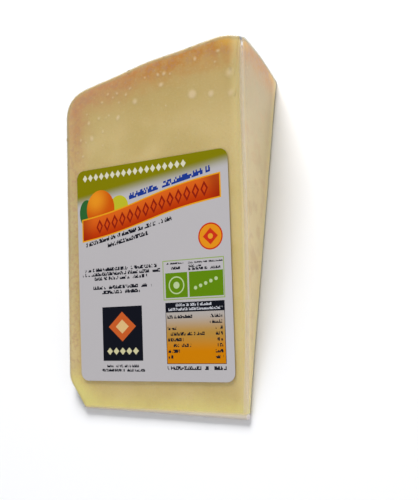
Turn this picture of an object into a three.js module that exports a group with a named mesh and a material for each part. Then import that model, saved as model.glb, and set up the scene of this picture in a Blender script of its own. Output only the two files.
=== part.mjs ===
// A parmesan chunk: a wedge sawn out of a wheel of hard cheese, sealed in clear film, with a paper label.
//
// Millimetres, +Z up. The wedge lies on one of its two radial cuts, as it has to, since it can't balance on
// its tip. The wheel's axle line runs along X, level with the table, through the point where the tip would
// be if it weren't blunt. +Y runs from the tip to the heel, the wheel's rounded outside. +X is the sawn
// face at the wheel's mid-height, and -X is the rind of the wheel's flat side. The label is on the upper
// radial cut, which slopes.
import * as THREE from "three";

// ---------------------------------------------------------------- driving dimensions
const WEDGE_ANGLE = THREE.MathUtils.degToRad(16); // between the two radial cuts
const HALF_HEIGHT = 116; // from the sawn face to the wheel's flat side
const HEEL_RADIUS = 214.6; // the wheel's radius at its mid-height
const RIM_RADIUS = 197.5; // the wheel's radius where the heel meets the flat side
const HEEL_BULGE = 2.6; // how far the heel stands out from a straight line between those two
const HEEL_WAVE = 0.35; // the rind's slow unevenness

const TIP_RADIUS = 8.6; // where the blunt tip is cut off, at the sawn face
const TIP_RADIUS_RIND = 10.8; // the same at its rind end
const TIP_CHIP_WIDTH = 11.5; // the corner that is missing between the tip and the flat side
const TIP_CHIP_LENGTH = 16.5;

const ROUND_HEEL_SAWN = 1.8; // corner radii of the wedge's outline, seen square to a radial cut
const ROUND_HEEL_RIND = 16;
const ROUND_CHIP = 12;
const ROUND_TIP = 2.2;

const EDGE_SAWN_UPPER = 4.5; // how round the edge is between the upper radial cut and the sawn face
const EDGE_SAWN_LOWER = 2; // and between the lower one and the sawn face
const EDGE_RIND = 1.6; // and between either cut and the rind or the chipped corner
const EDGE_CORNER = 1; // and at the sharp corner between the heel and the sawn face
const EDGE_FADE = 20; // how far from that corner the edges have grown to their full roundness
const EDGE_SHARE = 0.42; // none takes more than this share of the wedge's thickness, which thins to the tip

const CORNER_WEAR = 3; // how far the corner of heel, sawn face and upper cut is rubbed down towards the axle
const CORNER_REACH = 6; // and how far round it that is felt

const LABEL_WIDTH = 99;
const LABEL_LENGTH = 124.2;
const LABEL_THICKNESS = 0.35;
const LABEL_CORNER = 5;
const LABEL_FROM_AXLE = 89.45; // from the wheel's axle line to the label's middle, along the radial cut
const LABEL_FROM_SAWN = 57.1; // from the sawn face to the label's middle
const LABEL_TURN = THREE.MathUtils.degToRad(0.7); // it was stuck on a little askew
const LABEL_GAP = 0.3; // clearance between the label and the film

// how finely the curves are cut into facets
const STRAIGHT_STEP = 8; // on average, with shorter steps near the corners
const CORNER_STEPS = 7;
const HEEL_STEPS = 22;
const EDGE_STEPS = 4;
const WALL_STEPS = 7;

// ---------------------------------------------------------------- the outline of a radial cut

// A point of the outline is (a, r): a is the distance from the sawn face, and r the distance from the
// wheel's axle.
const point = (a, r) => new THREE.Vector2(a, r);

// The place on the way from one corner to another that is a given distance short of the first.
function along(from, to, distance) {
  return from.clone().lerp(to, distance / from.distanceTo(to));
}

// How far a corner's rounding reaches along its two sides.
function reach(corner, before, after, radius) {
  const one = before.clone().sub(corner).normalize();
  const other = after.clone().sub(corner).normalize();
  return radius / Math.tan(Math.acos(one.dot(other)) / 2);
}

// The wedge's outline as a closed list of points: up the flat side's rind from the chipped corner, along
// the heel, down the sawn face and back along the tip.
function sectionOutline() {
  const corners = [
    { at: point(HALF_HEIGHT, TIP_RADIUS_RIND + TIP_CHIP_LENGTH), radius: ROUND_CHIP },
    { at: point(HALF_HEIGHT, RIM_RADIUS), radius: ROUND_HEEL_RIND },
    { at: point(0, HEEL_RADIUS), radius: ROUND_HEEL_SAWN },
    { at: point(0, TIP_RADIUS), radius: ROUND_TIP },
    { at: point(HALF_HEIGHT - TIP_CHIP_WIDTH, TIP_RADIUS_RIND), radius: ROUND_TIP },
  ];
  const count = corners.length;
  corners.forEach((corner, i) => {
    const before = corners[(i + count - 1) % count].at;
    const after = corners[(i + 1) % count].at;
    const far = reach(corner.at, before, after, corner.radius);
    corner.start = along(corner.at, before, far);
    corner.end = along(corner.at, after, far);
  });

  const points = [];
  corners.forEach((corner, i) => {
    const next = corners[(i + 1) % count];
    const rounding = new THREE.QuadraticBezierCurve(corner.start, corner.at, corner.end);
    points.push(...rounding.getPoints(CORNER_STEPS).slice(0, -1));
    const side = new THREE.LineCurve(corner.end, next.start);
    const onHeel = corner.at.x === HALF_HEIGHT && next.at.x === 0;
    const steps = onHeel ? HEEL_STEPS : Math.ceil(side.getLength() / STRAIGHT_STEP);
    for (let step = 0; step < steps; step++) {
      const t = step / steps;
      points.push(side.getPoint(onHeel ? t : (1 - Math.cos(Math.PI * t)) / 2));
    }
  });
  return points.map(bulged);
}

// The heel stands out in a low arch, fullest half way, and its rind is slightly wavy. The share of the arch
// that a point takes fades from the whole at the heel to nothing 40 mm further in.
function bulged(p) {
  const t = p.x / HALF_HEIGHT;
  const chord = THREE.MathUtils.lerp(HEEL_RADIUS, RIM_RADIUS, t);
  const share = 1 - THREE.MathUtils.smoothstep(chord - p.y, 2, 40);
  const arch = 4 * HEEL_BULGE * t * (1 - t);
  const wave = HEEL_WAVE * Math.sin(5 * Math.PI * t) * Math.sin(Math.PI * t);
  return point(p.x, p.y + share * (arch + wave));
}

// The outward normal at each point of a closed outline.
function outwardNormals(points) {
  const count = points.length;
  return points.map((_, i) => {
    const before = points[(i + count - 1) % count];
    const after = points[(i + 1) % count];
    const run = after.clone().sub(before).normalize();
    return point(run.y, -run.x);
  });
}

// The radius of the edge between a radial cut and the wall at each point of the outline. An edge that is
// rounder than the outline's own corner would fold over itself, so the edges are narrow at the sharp corner
// and grow from there.
function edgeRadii(points, onSawnFace) {
  const sharpCorner = point(0, HEEL_RADIUS);
  return points.map((p) => {
    const grown = THREE.MathUtils.smoothstep(p.distanceTo(sharpCorner), ROUND_HEEL_SAWN, EDGE_FADE);
    const wanted = THREE.MathUtils.lerp(EDGE_CORNER, p.x === 0 ? onSawnFace : EDGE_RIND, grown);
    return Math.min(wanted, EDGE_SHARE * p.y * WEDGE_ANGLE);
  });
}

// ---------------------------------------------------------------- the wedge

// The point at a distance a from the sawn face and r from the axle, at an angle up from the table.
function turned(a, r, angle) {
  return new THREE.Vector3(HALF_HEIGHT / 2 - a, r * Math.cos(angle), r * Math.sin(angle));
}

// A point of the outline, moved inward, turned about the axle and, near the worn corner, let down towards
// the axle.
function placed(p, normal, inset, angle) {
  const a = p.x - inset * normal.x;
  const r = p.y - inset * normal.y;
  const fromCorner = turned(a, r, angle).distanceTo(turned(0, HEEL_RADIUS, WEDGE_ANGLE));
  return turned(a, r - CORNER_WEAR * Math.exp(-((fromCorner / CORNER_REACH) ** 2)), angle);
}

// Rings of points run round the outline, one after another from the upper radial cut over its rounded edge,
// down the wall and round the lower edge to the lower radial cut. Each cut is closed by a fan from its
// middle.
function wedgeGeometry() {
  const outline = sectionOutline();
  const normals = outwardNormals(outline);
  const upperEdge = edgeRadii(outline, EDGE_SAWN_UPPER);
  const lowerEdge = edgeRadii(outline, EDGE_SAWN_LOWER);

  // A ring is a share of an edge's quarter turn on the way from its cut (0) to the wall (1). The angle is
  // measured from that cut.
  const edgeRing = (radii, turn, angleUp) =>
    outline.map((p, i) => {
      const inset = radii[i] * (1 - Math.sin((turn * Math.PI) / 2));
      const depth = radii[i] * (1 - Math.cos((turn * Math.PI) / 2));
      return placed(p, normals[i], inset, angleUp(depth / (p.y - inset * normals[i].y)));
    });
  const wallRing = (share) =>
    outline.map((p, i) => {
      const from = WEDGE_ANGLE - upperEdge[i] / p.y;
      const to = lowerEdge[i] / p.y;
      return placed(p, normals[i], 0, THREE.MathUtils.lerp(from, to, share));
    });

  const rings = [];
  for (let step = 0; step < EDGE_STEPS; step++) {
    rings.push(edgeRing(upperEdge, step / EDGE_STEPS, (angle) => WEDGE_ANGLE - angle));
  }
  for (let step = 0; step <= WALL_STEPS; step++) {
    rings.push(wallRing(step / WALL_STEPS));
  }
  for (let step = EDGE_STEPS - 1; step >= 0; step--) {
    rings.push(edgeRing(lowerEdge, step / EDGE_STEPS, (angle) => angle));
  }

  const vertices = rings.flat();
  const size = outline.length;
  const triangles = [];
  for (let ring = 0; ring + 1 < rings.length; ring++) {
    for (let i = 0; i < size; i++) {
      const here = ring * size + i;
      const next = ring * size + ((i + 1) % size);
      triangles.push(here, next, here + size, next, next + size, here + size);
    }
  }

  const middle = (ring) =>
    ring.reduce((sum, p) => sum.add(p), new THREE.Vector3()).divideScalar(ring.length);
  const top = vertices.push(middle(rings[0])) - 1;
  const bottom = vertices.push(middle(rings.at(-1))) - 1;
  const lastRing = (rings.length - 1) * size;
  for (let i = 0; i < size; i++) {
    const next = (i + 1) % size;
    triangles.push(top, next, i);
    triangles.push(bottom, lastRing + i, lastRing + next);
  }

  const geometry = new THREE.BufferGeometry().setFromPoints(vertices);
  geometry.setIndex(triangles);
  geometry.computeVertexNormals();
  return geometry;
}

// ---------------------------------------------------------------- the label

// A sheet of paper with round corners, lying in XY round its own middle.
function labelGeometry() {
  const x = LABEL_WIDTH / 2;
  const y = LABEL_LENGTH / 2;
  const c = LABEL_CORNER;
  const sheet = new THREE.Shape();
  sheet.moveTo(-x + c, -y);
  sheet.lineTo(x - c, -y);
  sheet.absarc(x - c, -y + c, c, -Math.PI / 2, 0);
  sheet.lineTo(x, y - c);
  sheet.absarc(x - c, y - c, c, 0, Math.PI / 2);
  sheet.lineTo(-x + c, y);
  sheet.absarc(-x + c, y - c, c, Math.PI / 2, Math.PI);
  sheet.lineTo(-x, -y + c);
  sheet.absarc(-x + c, -y + c, c, Math.PI, 1.5 * Math.PI);
  return new THREE.ExtrudeGeometry(sheet, {
    depth: LABEL_THICKNESS,
    bevelEnabled: false,
    curveSegments: CORNER_STEPS,
  });
}

// ---------------------------------------------------------------- the chunk

const chunk = new THREE.Group();

const cheese = new THREE.MeshStandardMaterial({ color: "#d9c48a", roughness: 0.3, metalness: 0 });
const wedge = new THREE.Mesh(wedgeGeometry(), cheese);
wedge.name = "cheese_wedge";
chunk.add(wedge);

// The upper cut's own frame: X as the chunk's, Y up the slope from the axle line, Z square to the cut.
const upperCut = new THREE.Group();
upperCut.rotation.x = WEDGE_ANGLE;
chunk.add(upperCut);

const paper = new THREE.MeshStandardMaterial({ color: "#e9e9ea", roughness: 0.45, metalness: 0 });
const label = new THREE.Mesh(labelGeometry(), paper);
label.name = "label";
label.position.set(HALF_HEIGHT / 2 - LABEL_FROM_SAWN, LABEL_FROM_AXLE, LABEL_GAP);
label.rotation.z = LABEL_TURN;
upperCut.add(label);

// The origin is on the table, under the middle of the chunk.
const box = new THREE.Box3().setFromObject(wedge);
chunk.children.forEach((part) => {
  part.position.y -= (box.min.y + box.max.y) / 2;
});

export default chunk;
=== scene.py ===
# %% [markdown]
# # A parmesan chunk, sealed in clear film
#
# The real thing is a wedge sawn from one half of a wheel of long-aged hard cheese. It keeps the wheel's
# rind on its heel and on one flat side. Clear film has been shrunk tight round it, and a paper label sits
# on one of its two long cuts. The solids of the wedge and of the label are loaded first, because they give
# every size and place. Then come the cheese, its white crystals, the film and the printed label, and last
# the floor, the lamps and the camera.

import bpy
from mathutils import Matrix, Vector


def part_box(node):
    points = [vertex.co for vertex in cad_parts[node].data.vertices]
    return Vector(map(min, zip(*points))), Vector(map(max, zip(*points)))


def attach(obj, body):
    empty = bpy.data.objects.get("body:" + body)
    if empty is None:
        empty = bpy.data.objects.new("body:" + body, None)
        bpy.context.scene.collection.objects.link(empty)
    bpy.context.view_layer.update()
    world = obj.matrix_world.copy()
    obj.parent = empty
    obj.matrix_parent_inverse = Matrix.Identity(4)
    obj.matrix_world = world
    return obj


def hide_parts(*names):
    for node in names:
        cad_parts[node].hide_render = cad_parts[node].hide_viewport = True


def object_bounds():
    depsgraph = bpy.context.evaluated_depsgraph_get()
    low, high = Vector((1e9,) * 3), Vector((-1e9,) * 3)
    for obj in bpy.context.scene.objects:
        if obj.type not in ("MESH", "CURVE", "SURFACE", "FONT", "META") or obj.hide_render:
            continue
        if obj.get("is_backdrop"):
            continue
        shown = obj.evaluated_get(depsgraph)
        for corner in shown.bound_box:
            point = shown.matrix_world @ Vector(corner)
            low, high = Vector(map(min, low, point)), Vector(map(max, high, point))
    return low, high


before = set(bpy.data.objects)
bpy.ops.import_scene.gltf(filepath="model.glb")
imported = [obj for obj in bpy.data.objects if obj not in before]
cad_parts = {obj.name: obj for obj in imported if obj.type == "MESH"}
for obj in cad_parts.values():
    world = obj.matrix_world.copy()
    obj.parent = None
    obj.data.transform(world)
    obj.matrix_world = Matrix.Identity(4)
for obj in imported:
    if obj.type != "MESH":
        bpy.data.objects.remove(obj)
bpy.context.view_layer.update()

# %% [markdown]
# ## Four small helpers
#
# An operator acts on everything that is selected, and loading leaves the solids selected, so `pick` makes
# one piece the only one in hand. A shader wants linear light, while paint charts and screens give sRGB, so
# `paint` turns a hex colour into linear numbers. `add` puts one node into a material and fills its sockets.
# `finish` gives a piece its material, makes it ride on the chunk's one body and hides the solid that it
# stands for.

# %% Units and helpers
import math
import random

import bpy
from mathutils import Matrix, Vector, noise
from mathutils.bvhtree import BVHTree

MM = 0.001  # a millimetre in Blender's metres


def pick(piece):
    """Make this piece the only one selected, and the active one."""
    bpy.ops.object.select_all(action="DESELECT")
    piece.select_set(True)
    bpy.context.view_layer.objects.active = piece


def paint(hex_colour):
    """An sRGB hex colour as the linear red, green, blue and alpha that a shader wants."""
    channels = [int(hex_colour[i : i + 2], 16) / 255 for i in (1, 3, 5)]
    return (*[c / 12.92 if c <= 0.04045 else ((c + 0.055) / 1.055) ** 2.4 for c in channels], 1.0)


def add(tree, kind, sockets=None, **settings):
    """Add a node. `sockets` fills its inputs, by name or number, with values, nodes or outputs of nodes."""
    made = tree.nodes.new("ShaderNode" + kind)
    for name, value in settings.items():
        setattr(made, name, value)
    for socket, value in (sockets or {}).items():
        if isinstance(value, bpy.types.Node):
            value = value.outputs[0]
        if isinstance(value, bpy.types.NodeSocket):
            tree.links.new(value, made.inputs[socket])
        else:
            made.inputs[socket].default_value = value
    return made


def finish(piece, material, node):
    """Give the piece its material and tell the frame what it belongs to."""
    piece.data.materials.clear()
    piece.data.materials.append(material)
    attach(piece, "root")
    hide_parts(node)
    print(piece.name, "has", len(piece.data.polygons), "faces")


# %% [markdown]
# ## Where things are on the wedge
#
# The wedge is a slice of a wheel, so two numbers describe its place: the angle between its two long cuts,
# and the line where those cuts would meet, which is the wheel's axle. Both can be read off the solid. The
# upper cut holds the largest face that looks up, and its slope is the wedge's angle. Following that slope
# down to the table gives the axle. With them, `on_cut` finds any point of the upper cut from plain
# distances, as a ruler would.

# %% Read the wedge's angle and axle off the solid
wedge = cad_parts["cheese_wedge"]
wedge_low, wedge_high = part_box("cheese_wedge")
upper_face = max((face for face in wedge.data.polygons if face.normal.z > 0.9), key=lambda face: face.area)
a_corner = wedge.data.vertices[upper_face.vertices[0]].co
wedge_angle = math.acos(upper_face.normal.z)
axle_y = a_corner.y - a_corner.z / math.tan(wedge_angle)


def on_cut(across, up, lift=0.0):
    """The point `across` mm from the sawn face, `up` mm from the axle and `lift` mm off the upper cut."""
    y = up * math.cos(wedge_angle) - lift * math.sin(wedge_angle)
    z = up * math.sin(wedge_angle) + lift * math.cos(wedge_angle)
    return Vector((wedge_high.x - across * MM, axle_y + y * MM, z * MM))


def from_axle(point):
    """How far a point is from the wheel's axle, in metres."""
    return math.hypot(point.y - axle_y, point.z)


print("wedge angle", round(math.degrees(wedge_angle), 2), "degrees, axle at y =", round(axle_y / MM, 1), "mm")

# %% [markdown]
# ## One skin for the cheese and its film
#
# Film that clings has the cheese's own form, so both start from one skin: a copy of the wedge's solid. Its
# flat faces are first joined up, and then sliced along all three axes into cells of a millimetre or two,
# because only a surface with points in it can swell and crease. Slicing keeps the form exactly, which a
# remesh would soften. It also leaves slivers where cuts pass close to each other, and a sliver turns over
# when the skin is drawn in, which shows as a dark nick, so points that almost touch are merged, and the
# thin faces left between them are dissolved.

# %% Make the skin
SKIN_CELL = 1.6 * MM
SLIVER = 0.12 * MM  # points nearer to each other than this become one, and faces thinner than it go


def slice_into_cells(piece, size, axes="XYZ"):
    """Cut every face of the piece along the given axes, at steps of `size` metres."""
    pick(piece)
    bpy.ops.object.mode_set(mode="EDIT")
    corners = [Vector(corner) for corner in piece.bound_box]
    for axis in ["XYZ".index(letter) for letter in axes]:
        start = min(corner[axis] for corner in corners)
        stop = max(corner[axis] for corner in corners)
        count = round((stop - start) / size)
        for step in range(1, count):
            where = Vector((0, 0, 0))
            where[axis] = start + (stop - start) * step / count
            normal = Vector((0, 0, 0))
            normal[axis] = 1
            bpy.ops.mesh.select_all(action="SELECT")
            bpy.ops.mesh.bisect(plane_co=where, plane_no=normal)
    bpy.ops.object.mode_set(mode="OBJECT")


def copy_of(piece, name):
    """A copy of the piece with a mesh of its own and none of the original's labels."""
    made = bpy.data.objects.new(name, piece.data.copy())
    bpy.context.scene.collection.objects.link(made)
    return made


skin = copy_of(wedge, "skin")
pick(skin)
bpy.ops.mesh.customdata_custom_splitnormals_clear()
bpy.ops.object.mode_set(mode="EDIT")
bpy.ops.mesh.select_all(action="SELECT")
bpy.ops.mesh.remove_doubles(threshold=0.001 * MM)
bpy.ops.mesh.dissolve_limited(angle_limit=math.radians(0.05))
bpy.ops.object.mode_set(mode="OBJECT")
slice_into_cells(skin, SKIN_CELL)
pick(skin)
bpy.ops.object.mode_set(mode="EDIT")
bpy.ops.mesh.select_all(action="SELECT")
bpy.ops.mesh.remove_doubles(threshold=SLIVER)
bpy.ops.mesh.dissolve_degenerate(threshold=SLIVER)
bpy.ops.object.mode_set(mode="OBJECT")
print("the skin has", len(skin.data.polygons), "cells")

# %% [markdown]
# ## The cheese
#
# Hard cheese that was cut with a wire and a saw has almost flat faces, but never quite: the cut wanders by
# a tenth of a millimetre, and small dents show where grains broke out. A texture could fake that, but real
# points that move also bend the outline and the reflections of the film, so the skin is copied, drawn in by
# the thickness of the film and the air that it traps, and then given its relief. Noise that depends only on
# where a point is gives the same relief on every run.

# %% Shape the cheese
UNDER_FILM = 0.35 * MM  # how far the cheese lies inside the outside of the film
WANDER = 0.09 * MM  # how far a cut strays
WANDER_LENGTH = 22 * MM  # and over what length
DENTS = 0.05 * MM  # how deep the marks of single grains are
DENT_LENGTH = 3.5 * MM  # and how far apart

cheese = copy_of(skin, "cheese")
pick(cheese)
bpy.ops.object.mode_set(mode="EDIT")
bpy.ops.mesh.select_all(action="SELECT")
bpy.ops.transform.shrink_fatten(value=-UNDER_FILM)
bpy.ops.object.mode_set(mode="OBJECT")

normals = [vertex.normal.copy() for vertex in cheese.data.vertices]
for vertex, normal in zip(cheese.data.vertices, normals):
    wander = noise.noise(vertex.co / WANDER_LENGTH) * WANDER
    dents = noise.noise(vertex.co / DENT_LENGTH) * DENTS
    vertex.co += normal * (wander + dents)
bpy.ops.object.shade_smooth()
print("the cheese is", [round(side / MM, 1) for side in cheese.dimensions], "mm")

# %% [markdown]
# ## What each point knows of its place
#
# Air dries the wheel from outside for two years, so the last centimetres under the rind are darker and more
# orange than the heart. Light also leaks in through the long edges and the thin tip, and a painted glow
# makes them paler. Colours can follow both only if every point knows its place. The rind is the heel, which
# faces away from the axle, and the flat side at the low end of X. A search tree over just those faces gives
# the depth below the rind. Plain geometry gives the way from the axle and from the nearest of the four long
# edges. Mesh attributes carry all three, in millimetres, to the material.

# %% Measure depth below the rind, and distance from the axle and the edges
def is_rind(face):
    """True for the faces of the heel and of the wheel's flat side, with their rounded corner."""
    outwards = Vector((0, face.center.y - axle_y, face.center.z)).normalized()
    return math.hypot(max(face.normal.dot(outwards), 0), max(-face.normal.x, 0)) > 0.8


def carry(piece, name, values):
    """Store one number for each point of the piece, for its material to read."""
    attribute = piece.data.attributes.new(name, "FLOAT", "POINT")
    attribute.data.foreach_set("value", values)


rind_tree = BVHTree.FromPolygons(
    [vertex.co for vertex in skin.data.vertices],
    [face.vertices for face in skin.data.polygons if is_rind(face)],
)


def from_edge(point):
    """How far a point is from the nearest of the four long edges, in metres."""
    distances = []
    for x in (wedge_low.x, wedge_high.x):
        for angle in (0, wedge_angle):
            off_cut = (point.y - axle_y) * math.sin(angle) - point.z * math.cos(angle)
            distances.append(math.hypot(point.x - x, off_cut))
    return min(distances)


def tell_place(piece):
    """Give every point of the piece its place on the wedge, and return the depths below the rind."""
    points = [vertex.co for vertex in piece.data.vertices]
    depths = [rind_tree.find_nearest(point)[3] / MM for point in points]
    carry(piece, "rind_depth", depths)
    carry(piece, "from_axle", [from_axle(point) / MM for point in points])
    carry(piece, "from_edge", [from_edge(point) / MM for point in points])
    return depths


depths = tell_place(cheese)
print("deepest point below the rind:", round(max(depths), 1), "mm")

# %% [markdown]
# ## The finish of the cheese
#
# Aged cheese is a pressed, dry paste of grains in fat. Light goes a few millimetres into it and comes back
# softer and yellower, which is why the thin tip and the edges glow, so the material scatters light below
# its surface. Its colour is built in layers, each laid on the last as a painter would. The heart is straw,
# in cloudy patches some 30 mm wide. A strip along the flat side, pale near the tip and greyer towards the
# heel, is a painted sheen of the film, and the sawn face has dried to a paler, patchy skin. Towards the
# rind the paste turns orange near the sawn face and rosy near the flat side, over about 20 mm and with a
# ragged border, and mauve specks gather there. The near corner is golden. The glow of the long edges and
# the tip is also painted in, pale yellow along the edges and bright yellow at the tip and up the chipped
# corner. Just under the rind runs a thin grey-green line. The rind itself is dull gold, mottled and finely
# pitted. Fine grains cover everything.

# %% Choose the cheese's colours
STRAW = "#EDD594"
DEEP_STRAW = "#E2C983"
ORANGE_RIM = "#DC9737"
ROSY_RIM = "#DDA270"
RIM_SKIN = "#BFAE7E"
RIND_SKIN = "#AA9660"
RIND_DULL = "#9D8956"
RIND_PIT = "#86713F"
# painted sheen: the film's reflection along the flat side, pale near the tip and greyer towards the heel
PAINTED_SIDE_SHEEN = "#FAE9BC"
PAINTED_SIDE_SHEEN_GREY = "#BEBBA4"
CORNER_GOLD = "#F3BE46"
MAUVE_SPECK = "#CE9C80"
# painted glow of light coming through the thin tip, and along the long edges
PAINTED_TIP_GLOW = "#FFEE95"
PAINTED_EDGE_GLOW = "#F8E4A2"
DRY_PALE = "#FCE9C1"
DRY_DEEP = "#C3B08E"
DRY_ROSY = "#D3A584"
BELOW_RIND = "#DABD76"
print("straw in linear light:", [round(channel, 2) for channel in paint(STRAW)[:3]])


# %% Helpers for mixing colours
def new_material(name):
    """An empty material with an output, and its node tree."""
    made = bpy.data.materials.new(name)
    made.use_nodes = True
    made.node_tree.nodes.clear()
    return made, made.node_tree


def ramp(tree, value, low, high, start=0.0, end=1.0):
    """Go smoothly from `start` to `end` while `value` goes from `low` to `high`."""
    sockets = {"Value": value, "From Min": low, "From Max": high, "To Min": start, "To Max": end}
    return add(tree, "MapRange", sockets, interpolation_type="SMOOTHSTEP")


def blend(tree, share, under, over):
    """Lay the colour `over` on the colour `under`, as strongly as `share` says."""
    return add(tree, "MixRGB", {"Fac": share, "Color1": under, "Color2": over})


def times(tree, *values):
    """Multiply numbers."""
    product = values[0]
    for value in values[1:]:
        product = add(tree, "Math", {0: product, 1: value}, operation="MULTIPLY")
    return product


# %% Lay the colours of the cheese
def paste_colour(tree):
    """The colour of paste and rind, by their place on the wedge, and the height of their grains and pits."""
    place = add(tree, "TexCoord").outputs["Object"]
    depth, reach, edge = [
        add(tree, "Attribute", attribute_name=name).outputs["Fac"]
        for name in ("rind_depth", "from_axle", "from_edge")
    ]
    across = add(tree, "SeparateXYZ", {0: place}).outputs["X"]  # from the flat side to the sawn face

    clouds = add(tree, "TexNoise", {"Vector": place, "Scale": 1 / (30 * MM), "Detail": 2.0, "Roughness": 0.5})
    wobble = add(tree, "TexNoise", {"Vector": place, "Scale": 1 / (9 * MM), "Detail": 3.0, "Roughness": 0.6})
    blotches = add(
        tree, "TexNoise", {"Vector": place, "Scale": 1 / (5 * MM), "Detail": 2.0, "Roughness": 0.6}
    )
    specks = add(
        tree, "TexNoise", {"Vector": place, "Scale": 1 / (2.6 * MM), "Detail": 2.0, "Roughness": 0.6}
    )
    grain = add(tree, "TexNoise", {"Vector": place, "Scale": 1 / (1.1 * MM), "Detail": 2.0, "Roughness": 0.5})

    colour = blend(tree, ramp(tree, clouds, 0.36, 0.66), paint(STRAW), paint(DEEP_STRAW))
    colour = blend(tree, ramp(tree, reach, 160.0, 193.0, 0.0, 0.75), colour, paint(BELOW_RIND))
    # painted sheen: a strip along the flat side stands for the film's reflection there
    painted_side_sheen_share = times(tree, ramp(tree, depth, 9.0, 1.0), ramp(tree, reach, 165.0, 120.0, 0.0, 0.5))
    side = blend(tree, ramp(tree, reach, 45.0, 105.0), paint(PAINTED_SIDE_SHEEN), paint(PAINTED_SIDE_SHEEN_GREY))
    colour = blend(tree, painted_side_sheen_share, colour, side)

    dry = blend(tree, ramp(tree, reach, 105.0, 195.0), paint(DRY_PALE), paint(DRY_DEEP))
    dry = blend(tree, ramp(tree, wobble, 0.48, 0.66, 0.0, 0.55), dry, paint(DRY_ROSY))
    colour = blend(tree, ramp(tree, across, 55.5 * MM, 57.4 * MM, 0.0, 0.5), colour, dry)

    ragged_depth = add(tree, "Math", {0: wobble, 1: 12.0, 2: depth}, operation="MULTIPLY_ADD")
    band = times(
        tree,
        ramp(tree, ragged_depth, 28.0, 9.0),
        ramp(tree, reach, 135.0, 192.0, 0.12, 1.0),
        ramp(tree, blotches, 0.4, 0.62, 1.0, 0.7),
    )
    rim = blend(tree, ramp(tree, across, -50 * MM, 20 * MM), paint(ROSY_RIM), paint(ORANGE_RIM))
    colour = blend(tree, band, colour, rim)
    speckled = times(tree, ramp(tree, ragged_depth, 22.0, 8.0), ramp(tree, specks, 0.47, 0.64, 0.0, 0.5))
    colour = blend(tree, speckled, colour, paint(MAUVE_SPECK))
    golden = times(
        tree,
        ramp(tree, edge, 17.0, 9.0),
        ramp(tree, depth, 9.0, 3.0, 0.0, 0.8),
        ramp(tree, across, 30 * MM, 50 * MM),
    )
    colour = blend(tree, golden, colour, paint(CORNER_GOLD))
    # painted glow: pale along the long edges, for light coming through them
    painted_edge_glow = times(tree, ramp(tree, edge, 8.0, 2.0), ramp(tree, across, -50 * MM, 20 * MM, 0.3, 0.68))
    colour = blend(tree, painted_edge_glow, colour, paint(PAINTED_EDGE_GLOW))

    # painted glow: bright yellow at the tip and up the chipped corner, for light coming through thin cheese
    ragged_reach = add(tree, "Math", {0: wobble, 1: 8.0, 2: reach}, operation="MULTIPLY_ADD")
    chipped = ramp(tree, across, -30 * MM, -55 * MM, 0.0, 14.0)  # the painted glow climbs along the chipped corner
    tip_glow_reach = add(tree, "Math", {0: ragged_reach, 1: chipped}, operation="SUBTRACT")
    colour = blend(tree, ramp(tree, tip_glow_reach, 28.0, 12.0), colour, paint(PAINTED_TIP_GLOW))

    under_rind = times(tree, ramp(tree, depth, 3.0, 0.9, 0.0, 0.8), ramp(tree, reach, 70.0, 140.0, 0.4, 1.0))
    colour = blend(tree, under_rind, colour, paint(RIM_SKIN))
    rind = blend(tree, ramp(tree, wobble, 0.36, 0.62), paint(RIND_SKIN), paint(RIND_DULL))
    rind = blend(tree, ramp(tree, specks, 0.54, 0.7, 0.0, 0.4), rind, paint(RIND_PIT))
    on_rind = ramp(tree, depth, 0.85, 0.55)
    colour = blend(tree, on_rind, colour, rind)

    colour = blend(tree, ramp(tree, grain, 0.55, 0.75, 0.0, 0.14), colour, paint("#F6EAC4"))
    colour = blend(tree, ramp(tree, grain, 0.45, 0.28, 0.0, 0.10), colour, paint("#BE9F5C"))
    relief = add(tree, "Math", {0: times(tree, on_rind, specks), 1: -1.6, 2: grain}, operation="MULTIPLY_ADD")
    return colour, relief


# %% Make the cheese's material
cut_cheese, tree = new_material("aged_hard_cheese_sawn")  # waxy, dry and cloudy, soft light from inside, with a painted glow and sheen at its edges
colour, relief = paste_colour(tree)
fine = add(tree, "Bump", {"Height": relief, "Distance": 0.12 * MM, "Strength": 0.5})
body = {
    "Base Color": colour,
    "Roughness": 0.46,
    "IOR": 1.46,
    "Subsurface Weight": 0.35,
    "Subsurface Radius": (1.0, 0.75, 0.4),
    "Subsurface Scale": 2.5 * MM,
    "Normal": fine,
}
add(tree, "OutputMaterial", {"Surface": add(tree, "BsdfPrincipled", body)})
finish(cheese, cut_cheese, "cheese_wedge")
print("its material takes", len(tree.nodes), "nodes")

# %% [markdown]
# ## Crystals
#
# As the cheese ages, white crystals grow in it. Most are a millimetre across, and a few reach four. They
# are modelled as real low domes, because each one then catches the light. One dome is made from a circle
# whose middle is inset and raised ring by ring. It keeps a number that is 1 at its heart and 0 at its rim,
# so that its white can fade into the paste, and it is wider than the white that shows. Copies of it,
# turned, scaled and whitened each in its own measure, are set on the cheese and joined. The large ones
# have their places in lists, and the fine ones are scattered by chance, most of them near the rind.

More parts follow.
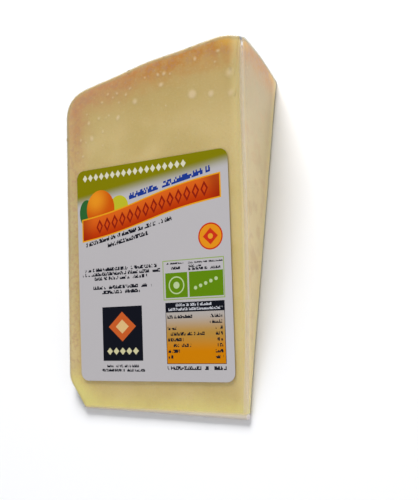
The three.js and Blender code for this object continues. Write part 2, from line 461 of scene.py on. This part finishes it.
# %% Choose the places of the large crystals
CRYSTALS_ON_CUT = [  # across from the sawn face, up from the axle, width, all in mm
    (17.6, 182.9, 3.4),
    (28.9, 184.6, 4.4),
    (12.8, 205.5, 2.3),
    (14.8, 199.9, 1.4),
    (26.8, 204.0, 2.3),
    (42.7, 198.7, 1.4),
    (46.6, 199.5, 2.3),
    (50.5, 199.7, 2.2),
    (45.7, 181.1, 1.4),
    (48.6, 193.6, 3.0),
    (59.1, 199.6, 1.4),
    (66.1, 187.0, 3.0),
    (69.3, 195.2, 1.8),
    (72.1, 192.1, 1.8),
    (77.1, 188.3, 1.4),
    (78.3, 193.9, 1.8),
    (81.2, 192.0, 1.4),
    (84.7, 194.4, 1.8),
    (77.9, 179.6, 3.0),
    (84.2, 181.8, 1.4),
    (89.0, 190.4, 1.8),
    (91.4, 181.2, 1.8),
    (88.7, 173.0, 1.8),
    (88.8, 164.7, 1.4),
    (98.7, 179.4, 2.3),
    (100.0, 185.0, 1.4),
    (96.7, 170.0, 3.0),
    (101.1, 168.2, 1.4),
    (104.7, 170.0, 1.8),
    (103.4, 160.1, 1.8),
]
CRYSTALS_ON_SAWN = [(136.4, 13.7, 2.2), (193.0, 44.0, 1.6), (186.0, 15.0, 1.4)]  # along, height, width
DEEP_CRYSTALS = [(5.8, 181.3, 3.6), (6.4, 192.4, 4.2)]  # on the cut too, but seen through a little cheese
print("large crystals:", len(CRYSTALS_ON_CUT) + len(CRYSTALS_ON_SAWN) + len(DEEP_CRYSTALS))

# %% Model one crystal
DOME_RADIUS = 0.5  # of the dome that is copied, which is 1 wide
DOME_RINGS = 4
RING_WIDTH = 0.12
FIRST_RISE = 0.0165  # of the outermost ring, and each ring then rises less than the last
RISE_FADES = 0.6

bpy.ops.object.select_all(action="DESELECT")
bpy.ops.mesh.primitive_circle_add(vertices=10, radius=DOME_RADIUS, fill_type="NGON")
crystal = bpy.context.active_object
bpy.ops.object.mode_set(mode="EDIT")
for ring in range(DOME_RINGS):
    bpy.ops.mesh.inset(thickness=RING_WIDTH, depth=FIRST_RISE * RISE_FADES**ring)
bpy.ops.mesh.poke()
bpy.ops.object.mode_set(mode="OBJECT")
rims = [1 - math.hypot(vertex.co.x, vertex.co.y) / DOME_RADIUS for vertex in crystal.data.vertices]
carry(crystal, "heart", rims)
print("one crystal has", len(crystal.data.polygons), "faces")

# %% Set the crystals out
FINE_CRYSTALS = 110
FINE_LEAST, FINE_MOST = 0.6, 1.5  # mm wide
NEAR_RIND = 14.0  # mm below the rind over which the fine ones thin out
ANYWHERE = 0.12  # chance of a fine one far from the rind
SMALLEST_FACE = 0.5 * MM * MM  # a fine crystal sits on a face that is larger
SOFT_RIM = 1.7  # how many times wider a dome is than the white that shows
TALLEST_AS = 3 * MM  # a wider dome is no taller than one of this width
SUNK = 0.02 * MM  # how far a dome is set into the cheese

cheese_tree = BVHTree.FromObject(cheese, bpy.context.evaluated_depsgraph_get())
chance = random.Random(24)
crystal_copies = []


def set_crystal(near, width, whiteness):
    """Copy the crystal, with its own mesh and whiteness, to the point of the cheese nearest to `near`."""
    point, normal = cheese_tree.find_nearest(near)[:2]
    made = copy_of(crystal, "crystal_copy")
    made.data.attributes["heart"].data.foreach_set("value", [rim * whiteness for rim in rims])
    lean = normal.to_track_quat("Z", "Y").to_matrix().to_4x4()
    turn = Matrix.Rotation(chance.uniform(0, math.tau), 4, "Z")
    stretch = Matrix.Diagonal((width, width * chance.uniform(0.65, 1), min(width, TALLEST_AS), 1))
    made.data.transform(Matrix.Translation(point - normal * SUNK) @ lean @ turn @ stretch)
    crystal_copies.append(made)


for along, height, width in CRYSTALS_ON_SAWN:
    place = Vector((wedge_high.x, axle_y + along * MM, height * MM))
    set_crystal(place, width * SOFT_RIM * MM, 0.35 + 0.2 * width)
for across, up, width in DEEP_CRYSTALS:
    set_crystal(on_cut(across, up), width * SOFT_RIM * MM, 0.75)
for across, up, width in CRYSTALS_ON_CUT:
    set_crystal(on_cut(across, up), width * SOFT_RIM * MM, 0.4 + 0.2 * width)
cut_faces = [face for face in cheese.data.polygons if not is_rind(face) and face.area > SMALLEST_FACE]
named = len(crystal_copies)
while len(crystal_copies) < named + FINE_CRYSTALS:
    face = chance.choice(cut_faces)
    below_rind = depths[face.vertices[0]]
    if chance.random() < math.exp(-below_rind / NEAR_RIND) + ANYWHERE:
        width = chance.uniform(FINE_LEAST, FINE_MOST)
        set_crystal(face.center, width * SOFT_RIM * MM, chance.uniform(0.2, 0.6))

pick(crystal_copies[0])
for made in crystal_copies:
    made.select_set(True)
bpy.ops.object.join()
crystals = bpy.context.active_object
crystals.name = "crystals"
bpy.ops.object.shade_smooth()
bpy.data.objects.remove(crystal)
spread = [round(side / MM, 1) for side in crystals.dimensions]
print(len(crystal_copies), "crystals are set out over", spread, "mm")

# %% Make the crystals' material
tell_place(crystals)
white_crystal, tree = new_material("tyrosine_crystal_grown")  # chalky white that fades into the paste
heart = add(tree, "Attribute", attribute_name="heart").outputs["Fac"]
colour = blend(tree, ramp(tree, heart, 0.0, 1.0, 0.0, 0.85), paste_colour(tree)[0], paint("#F8DFB2"))
chalk = {
    "Base Color": colour,
    "Roughness": 0.6,
    "IOR": 1.5,
    "Subsurface Weight": 0.3,
    "Subsurface Radius": (1.0, 0.9, 0.7),
    "Subsurface Scale": 1 * MM,
}
add(tree, "OutputMaterial", {"Surface": add(tree, "BsdfPrincipled", chalk)})
finish(crystals, white_crystal, "cheese_wedge")

# %% [markdown]
# ## The film
#
# The film is a bag of clear plastic, under a fifth of a millimetre thick, that was pumped empty until it
# clung. It lies flat on the faces, ripples slightly, and gathers into small creases where it has to turn a
# corner. The skin already has its form, so it only needs its ripples. What is finer than a cell is left to
# the material, and each point carries numbers that say where it belongs: how near the point is to a corner
# of the pack, how far it is from the axle, and how far it is from the one long fold, which wanders along
# the near edge from tip to heel. Where that fold meets the heel, a white spot is painted on the film as a
# glint, with a blue-grey spot beside it painted as a reflection.

# %% Shape the film
RIPPLE = 0.10 * MM  # how high the film's ripples are
RIPPLE_LENGTH = 11 * MM  # and how far apart
TIP_REACH = 10 * MM  # how far the blunt tip is from the axle
FOLD_STOP = 3 * MM  # how far short of the heel the fold stops
CREASE_REACH = 16.0  # mm from a corner to where its creases die out
FOLD_REACH = 9.0  # mm from the near edge beyond which there is no fold
FAR_OFF = 99.0  # mm, for points that the fold doesn't reach
FOLD_PATH = [(0, 1.5), (18, 0.9), (45, -1.4), (70, -2.6), (125, -3.4), (170, -2.2), (195, -3.0), (215, -3.8)]
# a white spot painted on the film as a glint, and a blue-grey spot beside it painted as a reflection
PAINTED_PINCH_SPOTS = [("painted_pinch_glint", 208.0, 3.6, 2.0), ("painted_pinch_reflection", 210.6, 2.4, 2.2)]  # mm up, mm below the cut, mm wide


def fold_place(along):
    """Where the fold lies `along` mm from the axle: mm on to the cut or, below 0, on to the sawn face."""
    for (start, low), (stop, high) in zip(FOLD_PATH, FOLD_PATH[1:]):
        if along <= stop:
            return low + (high - low) * (along - start) / (stop - start)
    return FOLD_PATH[-1][1]


film = copy_of(skin, "film")
corners_across = (wedge_low.x, wedge_high.x)
normals = [vertex.normal.copy() for vertex in film.data.vertices]
for vertex, normal in zip(film.data.vertices, normals):
    ripple = noise.noise(vertex.co / RIPPLE_LENGTH + Vector((3, 5, 7))) * RIPPLE
    vertex.co += normal * ripple
    vertex.co.z = max(vertex.co.z, 0)

heel_reach = max(from_axle(vertex.co) for vertex in film.data.vertices)
pack_corners = [
    Vector((x, axle_y + reach * math.cos(angle), reach * math.sin(angle)))
    for x in corners_across
    for reach in (TIP_REACH, heel_reach)
    for angle in (0, wedge_angle)
]
creases = []
for vertex in film.data.vertices:
    nearest = min((vertex.co - corner).length for corner in pack_corners) / MM
    creases.append(math.exp(-nearest / CREASE_REACH))
carry(film, "crease", creases)
carry(film, "from_axle", [from_axle(vertex.co) / MM for vertex in film.data.vertices])

offs = []
for vertex in film.data.vertices:
    beside = (wedge_high.x - vertex.co.x) / MM
    along = (vertex.co.y - axle_y) / MM
    below = along * math.sin(wedge_angle) - vertex.co.z / MM * math.cos(wedge_angle)
    near = math.hypot(beside, below) < FOLD_REACH and from_axle(vertex.co) < heel_reach - FOLD_STOP
    offs.append(beside - below - fold_place(along) if near else FAR_OFF)
carry(film, "off_fold", offs)

for name, up, below, size in PAINTED_PINCH_SPOTS:
    middle = on_cut(0.0, up, -below)
    nearness = [1 - (vertex.co - middle).length / MM / size for vertex in film.data.vertices]
    print(name, "is nearest to the film at", round(max(nearness), 2))
    carry(film, name, nearness)
pick(film)
bpy.ops.object.shade_smooth()

# %% [markdown]
# ## The finish of the film
#
# Clear film shows itself only by what it mirrors, so it is see-through and glossy at once. It mirrors
# little when looked at square on and much along its surface, and there it also takes on a grey-green tint,
# which draws a thin line round the pack. Creased film scatters light too, and looks milky, so a little
# white is mixed in along the fold, where it is partly a painted highlight, and towards the tip. White spots
# are painted as glints on the corners of the pack, and a painted glint and a painted blue-grey reflection
# sit where the fold meets the heel. The bumps of folds and creases bend what it mirrors.

# %% Make the film's material
SQUARE_ON = 0.05  # share of light that the film mirrors when looked at square on
EDGE_ON = 0.6  # and along its surface
clear_film, tree = new_material("vacuum_film_shrunk")  # a thin gloss that streaks along edges and creases, with painted glints
place = add(tree, "TexCoord").outputs["Object"]
crease = add(tree, "Attribute", attribute_name="crease").outputs["Fac"]
slack = add(tree, "TexNoise", {"Vector": place, "Scale": 1 / (7 * MM), "Detail": 2.0})
gathers = add(
    tree,
    "TexNoise",
    {"Vector": place, "Scale": 1 / (6 * MM), "Detail": 3.0, "Roughness": 0.5, "Lacunarity": 2.2},
    noise_type="RIDGED_MULTIFRACTAL",
)
gathered = times(tree, gathers, ramp(tree, crease, 0.3, 0.9))
relief = add(tree, "Math", {0: slack, 1: 0.5, 2: gathered}, operation="MULTIPLY_ADD")
off_fold = add(tree, "Attribute", attribute_name="off_fold").outputs["Fac"]
fold = ramp(tree, add(tree, "Math", {0: off_fold}, operation="ABSOLUTE"), 2.6, 1.4)
relief = add(tree, "Math", {0: fold, 1: 0.06, 2: relief}, operation="MULTIPLY_ADD")
bumps = add(tree, "Bump", {"Height": relief, "Distance": 0.3 * MM, "Strength": 0.6})
gloss = add(tree, "BsdfAnisotropic", {"Color": (1, 1, 1, 1), "Roughness": 0.2, "Normal": bumps})
slant = add(tree, "LayerWeight", {"Blend": 0.5, "Normal": bumps}).outputs["Facing"]
steep = add(tree, "Math", {0: slant, 1: 5.0}, operation="POWER")
sheen = add(tree, "Math", {0: steep, 1: EDGE_ON - SQUARE_ON, 2: SQUARE_ON}, operation="MULTIPLY_ADD")
see_through = blend(tree, ramp(tree, slant, 0.6, 0.95), paint("#FEFDFA"), paint("#8E9684"))
clear = add(tree, "BsdfTransparent", {"Color": see_through})
film_once = add(tree, "MixShader", {"Fac": sheen, 1: clear, 2: gloss})
# the painted glint and the painted blue-grey reflection where the fold meets the heel
painted_pinch_glint, painted_pinch_reflection = [
    ramp(tree, add(tree, "Attribute", attribute_name=name).outputs["Fac"], 0.0, 0.6)
    for name in ("painted_pinch_glint", "painted_pinch_reflection")
]
glint_and_milk_colour = blend(tree, painted_pinch_reflection, blend(tree, painted_pinch_glint, paint("#EFE6E4"), paint("#FFFFFF")), paint("#9AA3B6"))
glint_and_milk_shader = add(tree, "BsdfDiffuse", {"Color": glint_and_milk_colour})
# milky white towards the tip
milky_towards_tip = ramp(tree, add(tree, "Attribute", attribute_name="from_axle").outputs["Fac"], 13.0, 10.0, 0.0, 0.65)
# painted white glints on the corners of the pack
corner = ramp(tree, crease, 0.84, 0.93, 0.0, 0.9)
# the fold's white is partly real creasing of the film and partly a painted highlight
glint_and_milk_share = times(tree, fold, 0.28)
for more in (corner, milky_towards_tip, painted_pinch_glint, times(tree, painted_pinch_reflection, 0.7)):
    glint_and_milk_share = add(tree, "Math", {0: glint_and_milk_share, 1: more}, operation="MAXIMUM")
add(tree, "OutputMaterial", {0: add(tree, "MixShader", {"Fac": glint_and_milk_share, 1: film_once, 2: glint_and_milk_shader})})
finish(film, clear_film, "cheese_wedge")
bpy.data.objects.remove(skin)

# %% [markdown]
# ## The label's sheet
#
# The label is a sheet of coated paper with rounded corners, stuck to the outside of the film on the upper
# cut, a hair askew. It starts as a plane. Bevelling its four corner points rounds them, and slicing it into
# cells lets it follow the faint waves of the film. While it still lies square, each point's place on the
# sheet becomes its UV, so that the print can be laid out in millimetres from the sheet's lower left corner.
# Then it is turned, tilted and moved on to the cut, and gets the thickness of paper.

# %% Model the label's sheet
LABEL_WIDE = 99.0  # mm
LABEL_TALL = 124.2
LABEL_CORNER = 5.0
LABEL_TURN = math.radians(0.7)
PAPER = 0.15 * MM
LABEL_CELL = 3 * MM
SHEET_WAVE = 0.12 * MM  # how far the sheet follows the film up and down
SHEET_WAVE_LENGTH = 30 * MM

label_low, label_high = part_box("label")
label_middle = (label_low + label_high) / 2

bpy.ops.object.select_all(action="DESELECT")
bpy.ops.mesh.primitive_plane_add(size=1)
sheet = bpy.context.active_object
sheet.name = "label_sheet"
bpy.ops.object.mode_set(mode="EDIT")
bpy.ops.transform.resize(value=(LABEL_WIDE * MM, LABEL_TALL * MM, 1))
bpy.ops.mesh.bevel(offset=LABEL_CORNER * MM, segments=8, affect="VERTICES")
bpy.ops.object.mode_set(mode="OBJECT")
slice_into_cells(sheet, LABEL_CELL, "XY")

if not sheet.data.uv_layers:
    sheet.data.uv_layers.new(name="print")
for loop, uv in zip(sheet.data.loops, sheet.data.uv_layers.active.data):
    spot = sheet.data.vertices[loop.vertex_index].co
    uv.uv = (spot.x / (LABEL_WIDE * MM) + 0.5, spot.y / (LABEL_TALL * MM) + 0.5)

for vertex in sheet.data.vertices:
    vertex.co.z = noise.noise(vertex.co / SHEET_WAVE_LENGTH) * SHEET_WAVE
onto_cut = Matrix.Rotation(wedge_angle, 4, "X") @ Matrix.Rotation(LABEL_TURN, 4, "Z")
sheet.data.transform(Matrix.Translation(label_middle) @ onto_cut)
thickness = sheet.modifiers.new("paper", "SOLIDIFY")
thickness.thickness = PAPER
thickness.offset = 0
pick(sheet)
bpy.ops.object.modifier_apply(modifier=thickness.name)
bpy.ops.object.shade_smooth_by_angle(angle=math.radians(40))
print("the tilted sheet fills a box of", [round(side / MM, 1) for side in sheet.dimensions], "mm")

# %% [markdown]
# ## The label's print
#
# The label is offset-printed on coated paper, so its inks are flat fields with crisp edges, and a few fade
# into each other. An image would do, but fields made of nodes stay sharp at any size, and can be moved
# about like type in a press. Each field is a mask: a number that is 1 where its ink lies. A mask comes from
# comparing distances, and its ink is then laid over what was printed before. All places are millimetres
# from the lower left corner of the printed sheet, which lost a millimetre at its left and top when the
# labels were cut out.

# %% Helpers for printing
offset_print, tree = new_material("coated_paper_offset_printed")  # smooth paper with flat, crisp inks
spot = add(tree, "SeparateXYZ", {0: add(tree, "UVMap").outputs[0]})
TRIM_LEFT = 1.0  # mm of the printed sheet that were cut off at its left
TRIM_TOP = 1.1  # and at its top
along = add(tree, "Math", {0: spot.outputs["X"], 1: LABEL_WIDE, 2: TRIM_LEFT}, operation="MULTIPLY_ADD")
up = times(tree, spot.outputs["Y"], LABEL_TALL)
# partly painted shade: the paper is made light grey for the shade that falls on the label
SHADED_PAPER_GREY = "#C7C3C4"
printed = paint(SHADED_PAPER_GREY)  # the bare paper, whose light grey is partly painted shade, and then everything laid on it


def lay(mask, ink):
    """Print with an ink: a hex colour, or a node that mixes its own."""
    global printed
    printed = blend(tree, mask, printed, paint(ink) if isinstance(ink, str) else ink)


def maths(operation, *values):
    """One step of arithmetic on numbers or nodes."""
    return add(tree, "Math", dict(enumerate(values)), operation=operation)


def between(value, low, high):
    """1 where the value lies between low and high."""
    return maths("COMPARE", value, (low + high) / 2, (high - low) / 2)


def block(left, low, right, high):
    """A mask for an upright rectangle."""
    return times(tree, between(along, left, right), between(up, low, high))


def away_from(x, y, tall=1.0):
    """The distance from a point of the sheet, with heights counted as if they were `tall` times smaller."""
    place = add(tree, "CombineXYZ", {"X": along, "Y": maths("DIVIDE", up, tall)})
    return add(tree, "VectorMath", {0: place, 1: (x, y / tall, 0)}, operation="DISTANCE").outputs["Value"]


def disc(x, y, radius, tall=1.0):
    """A mask for a round spot, or an oval one."""
    return maths("LESS_THAN", away_from(x, y, tall), radius)


def diamonds(height, middle, left, right, step, wide, tall):
    """A mask for a row of diamonds, one in each `step`, along the line where `height` is `middle`."""
    phase = maths("FRACT", maths("DIVIDE", maths("SUBTRACT", along, left), step))
    sideways = maths("ABSOLUTE", maths("MULTIPLY_ADD", phase, 2 * step / wide, -step / wide))
    upwards = maths("ABSOLUTE", maths("MULTIPLY_ADD", height, 2 / tall, -2 * middle / tall))
    inside = maths("LESS_THAN", maths("ADD", sideways, upwards), 1.0)
    return times(tree, inside, between(along, left, right))


# %% [markdown]
# ## The head of the label
#
# An olive field fades out downwards, lower on the left than on the right. Over it runs a cream border of
# diamonds. A broad orange-red band with yellow edges climbs across the sheet in a slow wave, and an orange
# sun stands behind its low end, between a green hill and a yellow one. Everything that climbs with the band
# is measured above one tilted line.

# %% Print the head
BAND_CLIMB = 0.18  # mm of rise for each mm along
BAND_LOW = 80.9
BAND_HIGH = 94.6
BAND_RULE = 0.8

from_top = maths("SUBTRACT", LABEL_TALL + TRIM_TOP, up)
head_depth = add(tree, "MapRange", {"Value": along, "From Max": LABEL_WIDE, "To Min": 20.8, "To Max": 8.2})
lay(ramp(tree, maths("SUBTRACT", from_top, head_depth), 3.5, -4.5), "#8A8400")
lay(diamonds(up, 119.3, 5.0, 75.2, 3.9, 3.3, 4.4), "#E6E2C6")

tilted = maths("MULTIPLY_ADD", along, -BAND_CLIMB, up)
wave = maths("SINE", maths("MULTIPLY", along, math.tau / 95))
waved = maths("MULTIPLY_ADD", wave, 1.1, tilted)

lay(disc(7.5, 98.5, 5.0, 1.6), "#2F6B33")
lay(disc(30.5, 100.5, 6.2), "#C9C42C")
sunshine = blend(tree, ramp(tree, away_from(14, 106), 1.0, 12.0), paint("#F59A20"), paint("#D85A08"))
lay(disc(17.5, 100.0, 9.8, 1.15), sunshine)

inside_rules = between(waved, BAND_LOW + BAND_RULE, BAND_HIGH - BAND_RULE)
inner_band = times(tree, inside_rules, between(along, 4.8, 94.7))
band_ink = blend(tree, ramp(tree, waved, BAND_LOW, BAND_HIGH), paint("#C43400"), paint("#EA6A1A"))
lay(times(tree, between(waved, BAND_LOW, BAND_HIGH), between(along, 4.0, 95.5)), "#F0A81C")
lay(inner_band, band_ink)
lay(times(tree, inner_band, ramp(tree, away_from(50, 90), 36.0, 47.0, 0.0, 0.6)), "#8E1A06")
lay(diamonds(waved, 87.8, 14.0, 88.0, 5.3, 4.6, 8.6), "#98200A")
lay(diamonds(waved, 87.8, 14.0, 88.0, 5.3, 2.4, 4.6), "#DC5012")
print("the head takes", len(tree.nodes), "nodes")

# %% [markdown]
# ## Small print
#
# Small print is drawn as words without letters. Each letter's place is a little grid, two cells wide and
# three high, and a random number fills or empties each cell, the top row least often. Another random number
# leaves out a whole letter here and there, as a gap between words. At arm's length that is what small print
# looks like. Each row is one line of a list, so rows can be moved like slugs of type, and rows in one size
# share their letters.

# %% Set the rows of small print
INK = "#1E1F27"
WHITE_INK = "#C9CAD0"
ROWS_HIGH = 3
ROW_STRIDE = 301.7  # keeps the random numbers of one row of cells apart from the next row's
LINE_STRIDE = 7.7  # and those of one line of print from the next line's
EMPTY_CELLS = 0.14  # share of the lowest row
EMPTIER = 0.2  # and how much more of each row above
GAPS = 0.14  # share of letters left out


def letters(pitch):
    """One size of type: the number of the letter, and of the column, that each spot of the sheet is in."""
    places = maths("DIVIDE", along, pitch)
    return maths("FLOOR", places), maths("FLOOR", maths("MULTIPLY", places, 2.0))


def luck(number):
    """A random number from 0 to 1 for each number."""
    return add(tree, "TexWhiteNoise", {"W": number}, noise_dimensions="1D").outputs["Value"]


def words(size, left, right, low, tall, height=up):
    """A mask for one row of small print."""
    letter, column = size
    row = maths("FLOOR", maths("MULTIPLY_ADD", height, ROWS_HIGH / tall, -low * ROWS_HIGH / tall))
    cell = maths("MULTIPLY_ADD", row, ROW_STRIDE, maths("ADD", column, low * LINE_STRIDE))
    inked = maths("GREATER_THAN", luck(cell), maths("MULTIPLY_ADD", row, EMPTIER, EMPTY_CELLS))
    a_letter = maths("GREATER_THAN", luck(maths("ADD", letter, low * LINE_STRIDE)), GAPS)
    inside = times(tree, between(along, left, right), between(height, low, low + tall))
    return times(tree, inside, inked, a_letter)


small, medium, large = letters(0.85), letters(1.1), letters(1.7)

lay(words(large, 37.5, 89.5, 96.6, 3.5, tilted), "#1E3C96")
for left, right, low in ((6.7, 65.0, 77.1), (22.0, 50.0, 73.1)):
    lay(words(medium, left, right, low, 2.4, tilted), INK)
for left, right, low in (
    (5.4, 54.6, 63.4),
    (3.7, 56.7, 60.8),
    (12.1, 48.0, 58.2),
    (9.6, 50.8, 52.9),
    (17.2, 43.0, 50.1),
    (59.5, 95.2, 6.4),
):
    lay(words(medium, left, right, low, 2.0), INK)
for left, right, low in ((19.5, 41.0, 7.8), (15.8, 45.0, 5.4)):
    lay(words(small, left, right, low, 1.5), INK)
print("head and rows take", len(tree.nodes), "nodes")

# %% [markdown]
# ## Seal, panels, table and plate
#
# The rest of the print is upright blocks: a round yellow and red seal, a green frame with two green panels,
# a table under a black heading that fades from grey to orange, and a dark plate with an orange diamond.

# %% Print the blocks
GREEN = "#66900C"
PALE_GREEN = "#C4D8A0"
BLACK = "#12141E"
TABLE_STEP = 3.12
TABLE_TOP_ROW = 34.4
SEAL_X, SEAL_Y = 88.3, 77.8
RING_X, RING_Y = 66.7, 52.6

lay(disc(SEAL_X, SEAL_Y, 7.3), "#D43A14")
lay(disc(SEAL_X, SEAL_Y, 6.5), "#F29A1C")
lay(diamonds(up, SEAL_Y, 83.7, 92.9, 9.2, 9.0, 9.0), "#D8341A")
lay(disc(SEAL_X, SEAL_Y, 1.5), "#F2A830")

lay(block(58.3, 44.6, 95.8, 66.5), "#9AB45C")
lay(block(58.8, 45.1, 95.3, 66.0), SHADED_PAPER_GREY)
lay(block(59.8, 45.8, 73.6, 59.5), GREEN)
lay(block(74.6, 45.8, 95.0, 59.5), GREEN)
for radius, ink in ((4.9, PALE_GREEN), (4.2, GREEN), (1.9, PALE_GREEN)):
    lay(disc(RING_X, RING_Y, radius), ink)
for step in range(5):
    lay(disc(78.4 + 3.1 * step, 50.6 + 1.1 * step, 1.0), PALE_GREEN)
for left, right, low, tall in (
    (60.8, 71.7, 64.2, 0.9),
    (63.7, 69.3, 61.3, 1.5),
    (74.2, 95.0, 64.0, 0.9),
    (74.4, 82.2, 62.0, 1.4),
    (74.4, 93.5, 60.3, 1.4),
):
    lay(words(small, left, right, low, tall), INK)

table_ink = blend(tree, ramp(tree, up, 38.0, 26.0), paint("#BDB5AE"), paint("#C09242"))
table_ink = blend(tree, ramp(tree, up, 27.0, 16.0), table_ink, paint("#DA8600"))
lay(block(59.3, 9.6, 95.3, 43.2), BLACK)
lay(block(59.6, 9.9, 95.0, 37.8), table_ink)
for left, right, low in ((65.8, 88.8, 41.0), (60.8, 94.0, 38.7)):
    lay(words(small, left, right, low, 1.5), WHITE_INK)
for row, (left, right, figures) in enumerate(
    (
        (60.4, 75.8, 86.7),
        (60.4, 60.4, 86.3),
        (60.4, 65.8, 89.6),
        (62.1, 83.0, 89.6),
        (60.4, 70.0, 90.4),
        (62.1, 74.6, 90.4),
        (60.4, 67.5, 89.2),
        (60.4, 64.2, 89.2),
    )
):
    low = TABLE_TOP_ROW - row * TABLE_STEP
    lay(words(small, left, right, low, 1.8), INK)
    lay(words(small, figures, 93.7, low, 1.8), INK)

lay(block(17.0, 11.5, 44.0, 42.5), BLACK)
lay(diamonds(up, 31.0, 21.0, 40.0, 19.0, 18.5, 17.0), "#D4622A")
lay(diamonds(up, 31.0, 26.0, 35.0, 9.0, 8.8, 8.0), "#EBC384")
lay(diamonds(up, 17.0, 19.5, 41.5, 4.4, 3.9, 4.2), "#D9D2A4")

# %% Finish the label's paper
fibres = add(tree, "TexNoise", {"Vector": add(tree, "TexCoord").outputs["Object"], "Scale": 1 / (1.2 * MM)})
coat = {
    "Base Color": printed,
    "Roughness": 0.45,
    "IOR": 1.5,
    "Specular IOR Level": 0.06,
    "Normal": add(tree, "Bump", {"Height": fibres, "Distance": 0.02 * MM, "Strength": 0.4}),
}
add(tree, "OutputMaterial", {"Surface": add(tree, "BsdfPrincipled", coat)})
finish(sheet, offset_print, "label")
print("the print takes", len(tree.nodes), "nodes")

# %% [markdown]
# ## Table, lamps and camera
#
# The chunk lies on a plain pale floor. Wrapped food is lit with large soft lamps, because a small lamp
# would leave hard white spots on the film. The main softbox hangs high behind the heel: it grazes the
# sloping cut, and lights the floor more than the label. A weak one beside the sawn face draws the bright
# line along the near edge, and another in front of the tip brightens that end. The pale room fills the
# shadows.

# %% Lay the floor and hang the lamps
FLOOR_HALF = 3.0  # metres from the middle of the floor to its rim
FLOOR_GAP = 0.2 * MM  # between the chunk and the floor
ROOM_LIGHT = 0.34  # how bright the pale room is

bpy.ops.object.select_all(action="DESELECT")
bpy.ops.mesh.primitive_plane_add(size=2 * FLOOR_HALF, location=(0, 0, -FLOOR_GAP))
floor = bpy.context.active_object
floor.name = "studio_floor"
floor_white, tree = new_material("matt_white_paint")
matt = add(tree, "BsdfPrincipled", {"Base Color": paint("#F8F8F8"), "Roughness": 0.9})
add(tree, "OutputMaterial", {"Surface": matt})
floor.data.materials.append(floor_white)
floor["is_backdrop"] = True


def hang_softbox(name, towards, away, size, watts, tint="#FFFFFF"):
    """A square lamp, `away` metres from the chunk in the direction `towards`, that faces it."""
    direction = Vector(towards).normalized()
    bpy.ops.object.light_add(type="AREA", location=direction * away)
    lamp = bpy.context.active_object
    lamp.name = name
    lamp.rotation_euler = direction.to_track_quat("Z", "Y").to_euler()
    lamp.data.size = size
    lamp.data.energy = watts
    lamp.data.color = paint(tint)[:3]
    print(name, "hangs at", [round(side, 2) for side in lamp.location], "m")


hang_softbox("back_softbox", (-0.12, 0.85, 0.53), 2.0, 0.9, 54)
hang_softbox("side_softbox", (0.9, -0.1, 0.43), 1.6, 0.9, 3.2)
hang_softbox("front_softbox", (0.12, -0.8, 0.6), 0.9, 0.8, 1.55)

room = bpy.data.worlds.new("pale_room")
room.use_nodes = True
room.node_tree.nodes["Background"].inputs["Color"].default_value = paint("#F6F8FF")
room.node_tree.nodes["Background"].inputs["Strength"].default_value = ROOM_LIGHT
bpy.context.scene.world = room
bpy.context.scene.view_settings.view_transform = "Standard"

# %% Set up the camera
CAMERA_PLACE = (183.8, -135.41, 306.1)  # mm
CAMERA_TURNS = (19.73, 25.39, 6.27)  # degrees
SENSOR = 36.0  # mm, the long side
FOCAL_LENGTH = 45.13  # mm
SHIFT_UP = 0.08

bpy.ops.object.camera_add(location=Vector(CAMERA_PLACE) * MM)
camera = bpy.context.active_object
camera.rotation_euler = [math.radians(turn) for turn in CAMERA_TURNS]
camera.data.sensor_width = SENSOR
camera.data.lens = FOCAL_LENGTH
camera.data.shift_y = SHIFT_UP
camera.data.clip_start = 0.01
bpy.context.scene.camera = camera
print("the camera stands", round(camera.location.length / MM), "mm from the middle of the chunk's foot")

# %% Measure the size
low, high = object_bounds()
